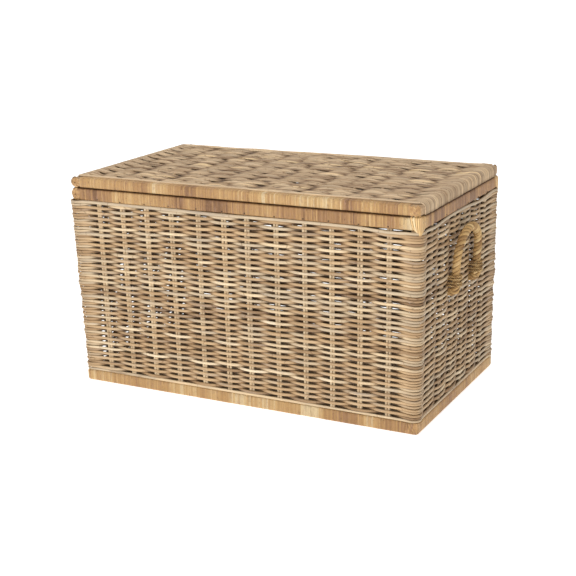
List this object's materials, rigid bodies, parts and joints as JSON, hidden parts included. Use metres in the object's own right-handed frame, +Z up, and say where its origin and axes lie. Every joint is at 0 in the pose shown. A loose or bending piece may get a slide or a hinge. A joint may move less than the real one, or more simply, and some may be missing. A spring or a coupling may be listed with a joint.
{
  "type": "wicker storage trunk",
  "caption": "Woven rattan storage trunk with a hinged lid, peel-bound frame rails and a rope handle at each end.",
  "frame": {"origin": "middle of the underside, on the surface that the trunk stands on", "axes": "+X along the length, towards the right end seen from the front; -Y out of the front; +Z up"},
  "size_m": [0.8446, 0.4573, 0.46],
  "materials": {
    "rattan_weave": "round unpeeled grey-brown rattan rods, dry and slightly satin",
    "rattan_stake": "round rattan rods, warm tan, satin",
    "rattan_core": "stripped rattan cane, matt",
    "rattan_peel": "split rattan peel wound side by side, satin",
    "lid_rattan": "thin greyed rattan rods in bundles, dry",
    "rope_fibre": "golden three-strand plant-fibre rope, hairy",
    "floor_board": "plain thin board",
    "batten_wood": "sawn softwood",
    "hinge_metal": "darkened steel",
    "nail_steel": "plain steel wire"
  },
  "bodies": {
    "trunk": {"base_rail_front": "rattan_core", "rim_rail_front": "rattan_core", "front_wall_weave": "rattan_weave", "front_stakes": "rattan_stake", "base_rail_rear": "rattan_core", "rim_rail_rear": "rattan_core", "rear_wall_weave": "rattan_weave", "rear_stakes": "rattan_stake", "base_rail_left": "rattan_core", "rim_rail_left": "rattan_core", "left_wall_weave": "rattan_weave", "left_stakes": "rattan_stake", "base_rail_right": "rattan_core", "rim_rail_right": "rattan_core", "right_wall_weave": "rattan_weave", "right_stakes": "rattan_stake", "corner_post_front_left": "rattan_core", "corner_post_front_right": "rattan_core", "corner_post_rear_left": "rattan_core", "corner_post_rear_right": "rattan_core", "base_binding": "rattan_peel", "rim_binding": "rattan_peel", "frame_nails": "nail_steel", "floor_panel": "floor_board", "floor_batten_left": "batten_wood", "floor_batten_middle": "batten_wood", "floor_batten_right": "batten_wood", "hinge_body_screws": "hinge_metal", "hinge_body_leaf_left": "hinge_metal", "hinge_pin_left": "hinge_metal", "rope_end_left_front": "rope_fibre", "rope_lashing_left_front": "rope_fibre", "rope_end_left_rear": "rope_fibre", "rope_lashing_left_rear": "rope_fibre", "hinge_body_leaf_right": "hinge_metal", "hinge_pin_right": "hinge_metal", "rope_end_right_front": "rope_fibre", "rope_lashing_right_front": "rope_fibre", "rope_end_right_rear": "rope_fibre", "rope_lashing_right_rear": "rope_fibre"},
    "lid": {"lid_rail_front": "rattan_core", "lid_rail_rear": "rattan_core", "lid_rail_left": "rattan_core", "lid_rail_right": "rattan_core", "lid_binding": "rattan_peel", "lid_nails": "nail_steel", "hinge_lid_screws": "hinge_metal", "lid_ribs": "rattan_stake", "lid_weave": "lid_rattan", "hinge_lid_strap_left": "hinge_metal", "lid_end_wrap_left": "lid_rattan", "hinge_lid_strap_right": "hinge_metal", "lid_end_wrap_right": "lid_rattan"},
    "handle_left": {"rope_handle_left": "rope_fibre"},
    "handle_right": {"rope_handle_right": "rope_fibre"}
  },
  "joints": [
    {"name": "lid_hinge", "type": "hinge", "parent": "trunk", "child": "lid", "pos_m": [0, 0.2287, 0.4345], "axis": [-1, 0, 0], "range_deg": [0, 105]},
    {"name": "handle_left_swing", "type": "hinge", "parent": "trunk", "child": "handle_left", "pos_m": [-0.40771, 0.005, 0.294], "axis": [0, -1, 0], "range_deg": [-3, 85]},
    {"name": "handle_right_swing", "type": "hinge", "parent": "trunk", "child": "handle_right", "pos_m": [0.40771, 0.005, 0.294], "axis": [0, 1, 0], "range_deg": [-3, 85]}
  ]
}
